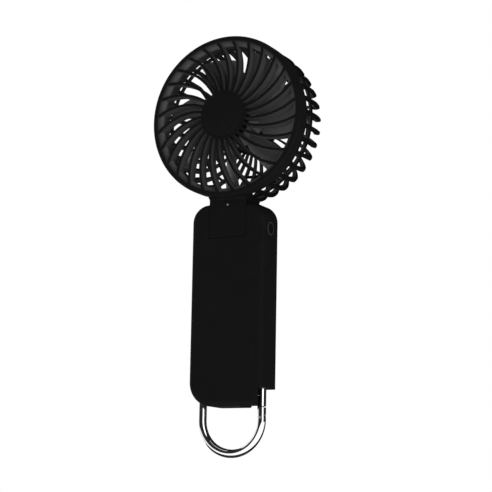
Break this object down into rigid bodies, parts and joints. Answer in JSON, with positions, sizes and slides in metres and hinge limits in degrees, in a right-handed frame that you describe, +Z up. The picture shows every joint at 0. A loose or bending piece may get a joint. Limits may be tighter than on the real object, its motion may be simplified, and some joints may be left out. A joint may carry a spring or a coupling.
{
  "type": "hand-held folding fan",
  "caption": "Slim black folding hand fan: round head with swept spokes and a ribbed rear cage on a hinged neck, flat handle, sprung chrome carabiner loop below.",
  "frame": {"origin": "under the middle of the whole fan's box, at the bottom of the carabiner loop, with the head upright", "axes": "+Z up from the loop to the head, -Y the way the fan blows, +X to the right as seen from the front"},
  "size_m": [0.096, 0.0434, 0.2451],
  "materials": {
    "black_shell": "fine satin, moulded black",
    "black_gloss": "smooth black",
    "grey_impeller": "smooth satin, dark grey",
    "chrome": "polished plate",
    "steel": "plain",
    "black_steel": "black oxide",
    "bronze": "sintered",
    "copper_winding": "enamelled wire",
    "magnet": "bonded ferrite",
    "cell_foil": "laminated foil",
    "circuit_board": "solder mask",
    "clear_window": "clear plastic"
  },
  "bodies": {
    "handle": {"front_shell": "black_shell", "rear_shell": "black_shell", "handle_screws": "black_steel", "pivot_cap_right": "black_gloss", "pivot_cap_left": "black_gloss", "hinge_pins": "steel", "friction_washers": "steel", "carabiner_frame": "chrome", "carabiner_nose": "chrome", "gate_pin": "steel", "gate_spring": "steel", "battery_cell": "cell_foil", "control_board": "circuit_board", "usb_socket": "steel", "tact_switch": "steel", "charge_windows": "clear_window"},
    "head": {"front_grille": "black_shell", "grille_cap": "black_gloss", "shroud": "black_shell", "neck_cover": "black_shell", "neck_screws": "black_steel", "status_lens": "clear_window", "rear_grille": "black_shell", "rear_cap": "black_gloss", "motor_screws": "black_steel", "motor_cup": "black_shell", "bearings": "bronze", "stator": "copper_winding", "motor_board": "circuit_board"},
    "fan_wheel": {"impeller": "grey_impeller", "rotor_can": "steel", "magnet_ring": "magnet", "motor_shaft": "steel"},
    "gate": {"carabiner_gate": "chrome"},
    "button": {"power_button": "black_gloss"}
  },
  "joints": [
    {"name": "head_tilt", "type": "hinge", "parent": "handle", "child": "head", "pos_m": [0, -0.0028, 0.1313], "axis": [1, 0, 0], "range_deg": [-100, 0]},
    {"name": "fan_spin", "type": "hinge", "parent": "head", "child": "fan_wheel", "pos_m": [0, 0, 0.1971], "axis": [0, -1, 0], "continuous": true},
    {"name": "gate_swing", "type": "hinge", "parent": "handle", "child": "gate", "pos_m": [0.019, -0.0013, 0.0228], "axis": [0, 1, 0], "range_deg": [-35, 0], "stiffness_Nm_per_rad": 0.02},
    {"name": "button_press", "type": "slide", "parent": "handle", "child": "button", "axis": [0, -1, 0], "range_m": [0, 0.0008], "stiffness_N_per_m": 300}
  ]
}
